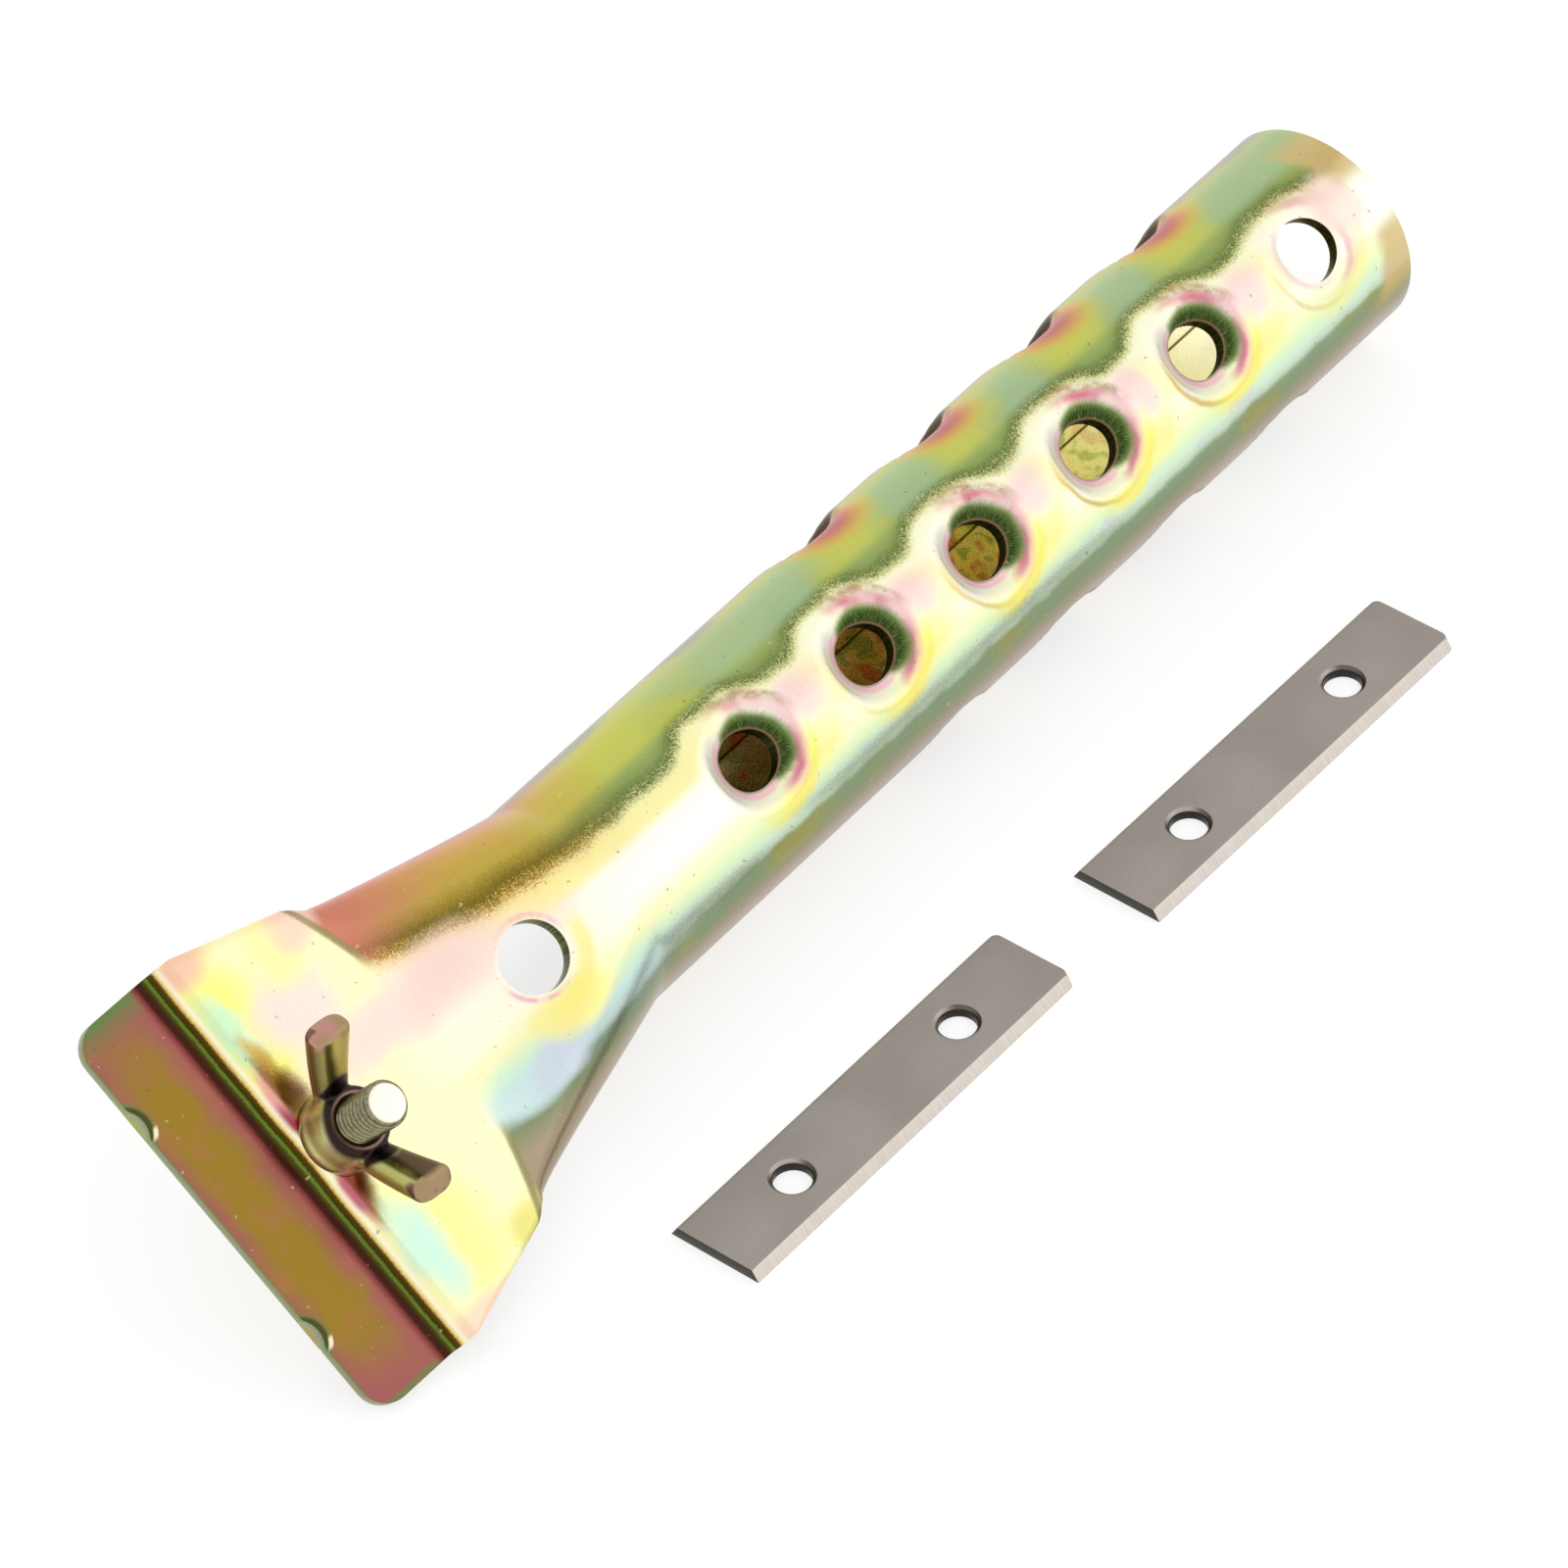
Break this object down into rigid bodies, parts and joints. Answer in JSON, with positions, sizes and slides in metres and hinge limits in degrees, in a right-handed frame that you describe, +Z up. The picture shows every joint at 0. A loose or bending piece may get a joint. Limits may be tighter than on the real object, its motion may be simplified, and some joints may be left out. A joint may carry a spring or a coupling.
{
  "type": "paint scraper",
  "caption": "Pull-type paint scraper: a rolled sheet-metal tube handle with pressed holes, a wing-nut clamp head and loose two-edged knives lying beside it.",
  "frame": {"origin": "centre of the whole part's footprint, on the surface that the part lies on", "axes": "+Y along the tube from the head to the open end, +Z up from the surface, +X to the side that the loose knives lie on; the tool is rolled about its tube so that it rests on the tube and on the right corner of its head"},
  "size_m": [0.0578, 0.1816, 0.0335],
  "materials": {
    "plated_sheet": "bright yellow-zinc plating with rainbow tints",
    "plated_plate": "bright yellow-zinc plating",
    "pin_steel": "plated steel",
    "plated_bolt": "olive-bronze plating",
    "plated_nut": "olive-bronze plating",
    "tool_steel": "satin ground tool steel"
  },
  "bodies": {
    "handle": {"handle": "plated_sheet"},
    "clamp_jaw": {"clamp_plate": "plated_plate", "pin_left": "pin_steel", "pin_right": "pin_steel", "clamp_bolt": "plated_bolt"},
    "wing_nut": {"wing_nut": "plated_nut"},
    "front_knife": {"blade_front": "tool_steel"},
    "rear_knife": {"blade_rear": "tool_steel"}
  },
  "joints": [
    {"name": "wing_nut_spin", "type": "hinge", "parent": "handle", "child": "wing_nut", "pos_m": [-0.00814, -0.0767, 0.01854], "axis": [0.6431, 0, 0.7658], "range_deg": [0, 900]},
    {"name": "clamp_slide", "type": "slide", "parent": "handle", "child": "clamp_jaw", "axis": [-0.6431, 0, -0.7658], "range_m": [0, 0.002]},
    {"name": "blade_front_lift", "type": "slide", "parent": "handle", "child": "front_knife", "axis": [0, 0, 1], "range_m": [0, 0.05]},
    {"name": "blade_rear_lift", "type": "slide", "parent": "handle", "child": "rear_knife", "axis": [0, 0, 1], "range_m": [0, 0.05]}
  ],
  "couplings": [
    {"joint": "wing_nut_spin", "follows": "clamp_slide", "rad_per_m": 7854}
  ]
}
